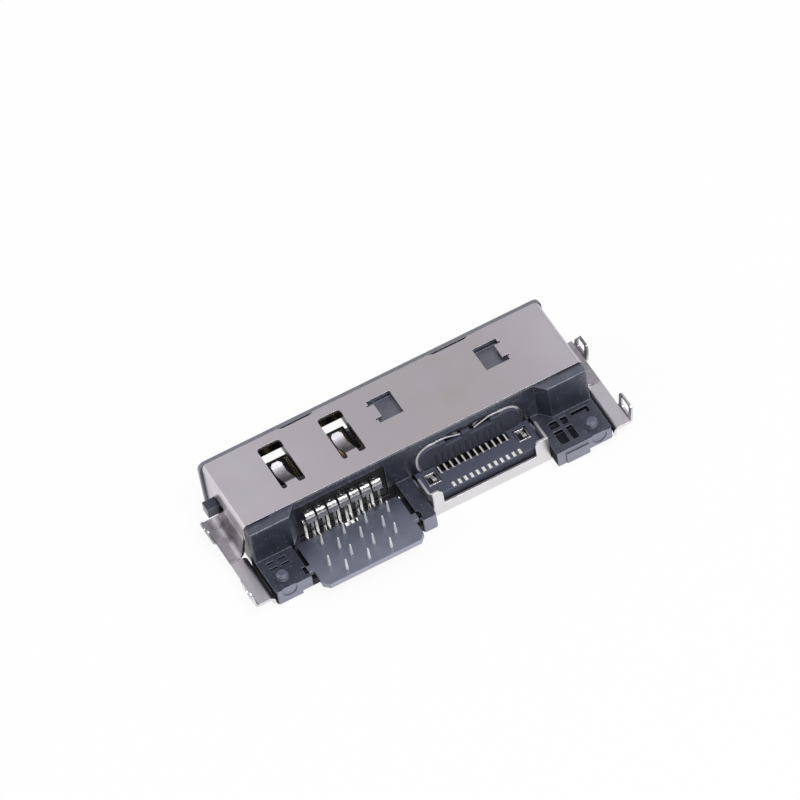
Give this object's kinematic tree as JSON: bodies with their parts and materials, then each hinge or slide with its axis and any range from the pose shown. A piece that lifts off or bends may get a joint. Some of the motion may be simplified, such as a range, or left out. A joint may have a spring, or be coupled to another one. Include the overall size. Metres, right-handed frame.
{
  "type": "usb-c and docking port socket module",
  "caption": "Two-port edge socket: a docking port and a USB-C port in one black moulding under a stamped metal cover, with side board locks and board pegs.",
  "frame": {"origin": "centre of the footprint at the underside of the bottom shell", "axes": "+X along the row of ports, docking port towards -X; +Y towards the mating side; +Z towards the board side with the pegs and solder tails"},
  "size_m": [0.0318, 0.0126, 0.005],
  "materials": {
    "cover_nickel": "satin nickel plate on stamped sheet",
    "shell_nickel": "satin nickel plate on stamped sheet",
    "lock_nickel": "satin nickel plate on stamped sheet",
    "port_steel": "plain stainless sheet",
    "black_moulding": "moulded black nylon, faint sheen",
    "plate_moulding": "moulded dark grey nylon, faint sheen",
    "dock_contact": "bright tin on the tails, thin gold on the mating end",
    "usbc_contact": "pale gold and tin plate"
  },
  "bodies": {
    "root": {"top_cover": "cover_nickel", "bottom_shell": "shell_nickel", "left_board_lock": "lock_nickel", "right_board_lock": "lock_nickel", "housing": "black_moulding", "dock_insulator": "black_moulding", "dock_tail_plate": "plate_moulding", "usbc_insulator": "black_moulding", "usbc_shell": "port_steel", "usbc_midplate": "port_steel", "usbc_ground_sleeve": "port_steel", "dock_upper_contact_1": "dock_contact", "dock_lower_contact_1": "dock_contact", "dock_upper_contact_2": "dock_contact", "dock_lower_contact_2": "dock_contact", "dock_upper_contact_3": "dock_contact", "dock_lower_contact_3": "dock_contact", "dock_upper_contact_4": "dock_contact", "dock_lower_contact_4": "dock_contact", "dock_upper_contact_5": "dock_contact", "dock_lower_contact_5": "dock_contact", "dock_upper_contact_6": "dock_contact", "dock_lower_contact_6": "dock_contact", "dock_upper_contact_7": "dock_contact", "dock_lower_contact_7": "dock_contact", "usbc_upper_contact_1": "usbc_contact", "usbc_lower_contact_1": "usbc_contact", "usbc_upper_contact_2": "usbc_contact", "usbc_lower_contact_2": "usbc_contact", "usbc_upper_contact_3": "usbc_contact", "usbc_lower_contact_3": "usbc_contact", "usbc_upper_contact_4": "usbc_contact", "usbc_lower_contact_4": "usbc_contact", "usbc_upper_contact_5": "usbc_contact", "usbc_lower_contact_5": "usbc_contact", "usbc_upper_contact_6": "usbc_contact", "usbc_lower_contact_6": "usbc_contact", "usbc_upper_contact_7": "usbc_contact", "usbc_lower_contact_7": "usbc_contact", "usbc_upper_contact_8": "usbc_contact", "usbc_lower_contact_8": "usbc_contact", "usbc_upper_contact_9": "usbc_contact", "usbc_lower_contact_9": "usbc_contact", "usbc_upper_contact_10": "usbc_contact", "usbc_lower_contact_10": "usbc_contact", "usbc_upper_contact_11": "usbc_contact", "usbc_lower_contact_11": "usbc_contact", "usbc_upper_contact_12": "usbc_contact", "usbc_lower_contact_12": "usbc_contact"}
  },
  "joints": []
}
